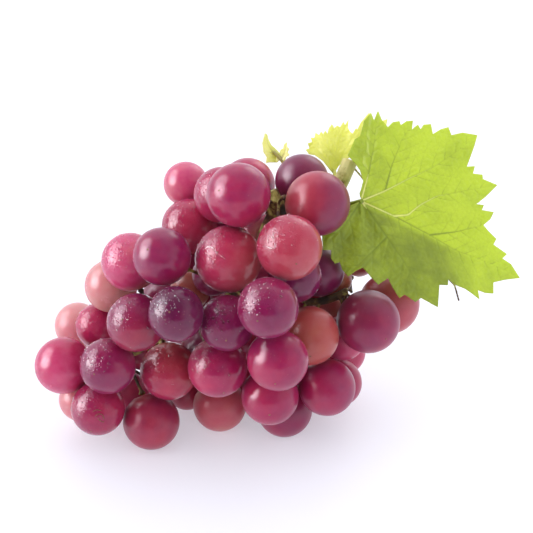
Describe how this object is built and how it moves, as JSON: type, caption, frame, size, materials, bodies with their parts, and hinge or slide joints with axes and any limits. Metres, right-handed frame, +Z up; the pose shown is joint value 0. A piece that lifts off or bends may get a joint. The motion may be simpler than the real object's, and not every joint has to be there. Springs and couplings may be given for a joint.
{
  "type": "bunch of grapes",
  "caption": "Bunch of red table grapes lying on its side on a branched stalk, with a piece of vine shoot, a large lobed leaf and small young leaves.",
  "frame": {"origin": "middle of the whole part's bounding box, on the surface that the bunch lies on", "axes": "+Z up, +X along the bunch from its tip to the large leaf, +Y away from the side that the picture shows"},
  "size_m": [0.1932, 0.1066, 0.1206],
  "materials": {
    "berry_crimson": "translucent fruit skin, satin with a thin bloom and small water drops",
    "berry_purple": "dark translucent fruit skin, satin with a thin bloom and small water drops",
    "berry_amber": "pale translucent fruit skin, amber to pink, satin",
    "berry_pink": "bright translucent fruit skin, satin with small water drops",
    "stem": "green-brown stalk, matt, with lenticels",
    "leaf_green": "soft green leaf with paler veins",
    "leaf_young": "thin yellow-green young leaf"
  },
  "bodies": {
    "root": {"berry_01": "berry_pink", "berry_02": "berry_crimson", "berry_03": "berry_crimson", "berry_04": "berry_pink", "berry_05": "berry_purple", "berry_06": "berry_crimson", "berry_07": "berry_pink", "berry_08": "berry_crimson", "berry_09": "berry_crimson", "berry_10": "berry_crimson", "berry_11": "berry_crimson", "berry_12": "berry_amber", "berry_13": "berry_crimson", "berry_14": "berry_purple", "berry_15": "berry_purple", "berry_16": "berry_crimson", "berry_17": "berry_purple", "berry_18": "berry_purple", "berry_19": "berry_amber", "berry_20": "berry_purple", "berry_21": "berry_pink", "berry_22": "berry_crimson", "berry_23": "berry_crimson", "berry_24": "berry_crimson", "berry_25": "berry_crimson", "berry_26": "berry_amber", "berry_27": "berry_crimson", "berry_28": "berry_crimson", "berry_29": "berry_pink", "berry_30": "berry_crimson", "berry_31": "berry_crimson", "berry_32": "berry_purple", "berry_33": "berry_amber", "berry_34": "berry_crimson", "berry_35": "berry_crimson", "berry_36": "berry_crimson", "berry_37": "berry_crimson", "berry_38": "berry_crimson", "berry_39": "berry_crimson", "berry_40": "berry_pink", "berry_41": "berry_purple", "berry_42": "berry_amber", "berry_43": "berry_amber", "berry_44": "berry_crimson", "berry_45": "berry_crimson", "berry_46": "berry_crimson", "berry_47": "berry_crimson", "berry_48": "berry_crimson", "berry_49": "berry_crimson", "berry_50": "berry_crimson", "berry_51": "berry_crimson", "berry_52": "berry_crimson", "berry_53": "berry_crimson", "berry_54": "berry_crimson", "berry_55": "berry_crimson", "berry_56": "berry_crimson", "stalk": "stem", "large_leaf": "leaf_green", "young_leaf": "leaf_young", "tip_leaf": "leaf_young"}
  },
  "joints": []
}
